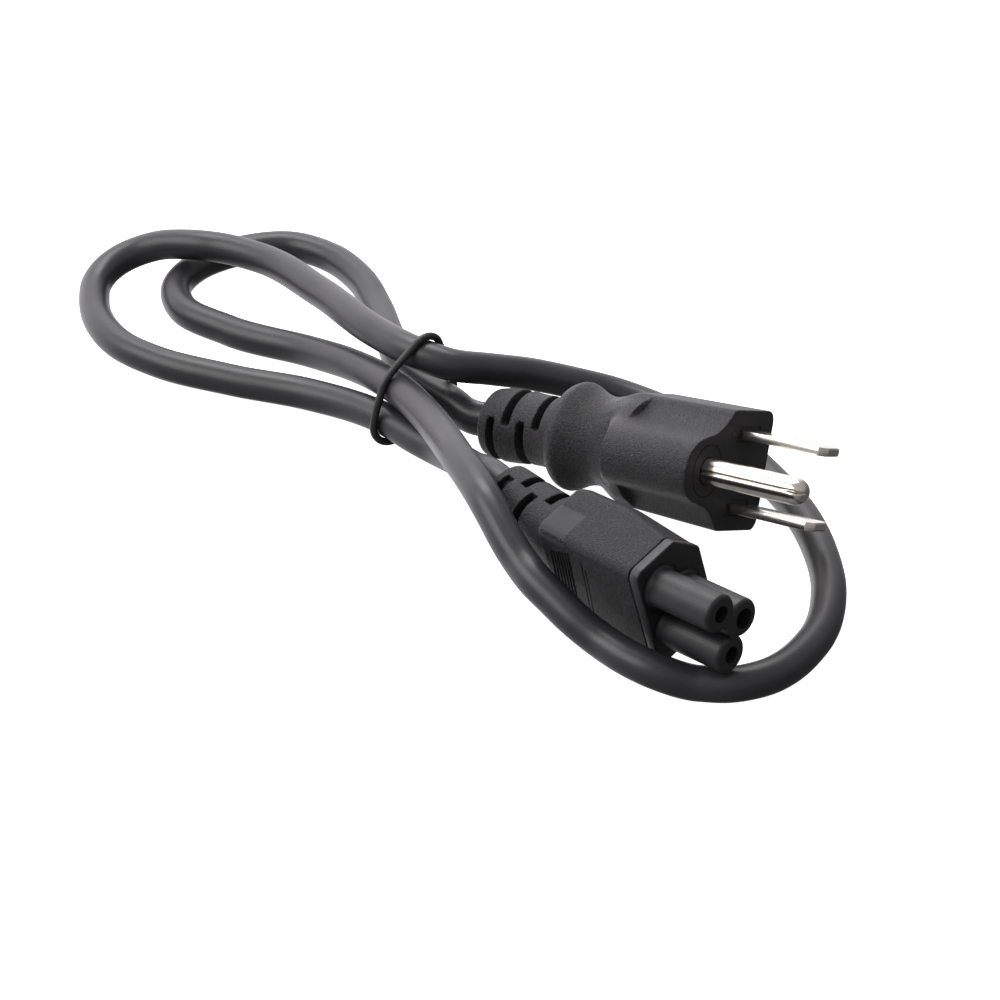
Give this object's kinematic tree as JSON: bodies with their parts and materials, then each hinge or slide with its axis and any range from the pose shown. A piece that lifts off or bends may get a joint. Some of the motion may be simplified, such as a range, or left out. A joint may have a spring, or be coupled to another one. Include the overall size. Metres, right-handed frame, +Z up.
{
  "type": "power cord",
  "caption": "Short mains power cord with a grounded blade plug and a cloverleaf appliance connector, coiled and held by a wire tie.",
  "frame": {"origin": "middle of the box round the plug and the connector, on the floor they lie on", "axes": "+Z up from the floor, -Y towards the picture's camera, +X to its right"},
  "size_m": [0.1397, 0.1549, 0.0255],
  "materials": {
    "plug_pvc": "moulded PVC with a fine grain",
    "blade_upper_plating": "nickel plated",
    "blade_lower_plating": "nickel plated",
    "ground_pin_plating": "nickel plated",
    "cable_jacket": "satin PVC jacket",
    "connector_pvc": "moulded PVC with a fine grain",
    "connector_insert_plastic": "smooth satin",
    "contact_sleeve_1_metal": "plain",
    "contact_sleeve_2_metal": "plain",
    "contact_sleeve_3_metal": "plain",
    "tie_coating": "plastic coated wire"
  },
  "bodies": {
    "root": {"plug_body": "plug_pvc", "blade_upper": "blade_upper_plating", "blade_lower": "blade_lower_plating", "ground_pin": "ground_pin_plating", "cable": "cable_jacket", "connector_body": "connector_pvc", "connector_insert": "connector_insert_plastic", "contact_sleeve_1": "contact_sleeve_1_metal", "contact_sleeve_2": "contact_sleeve_2_metal", "contact_sleeve_3": "contact_sleeve_3_metal", "tie": "tie_coating"}
  },
  "joints": []
}
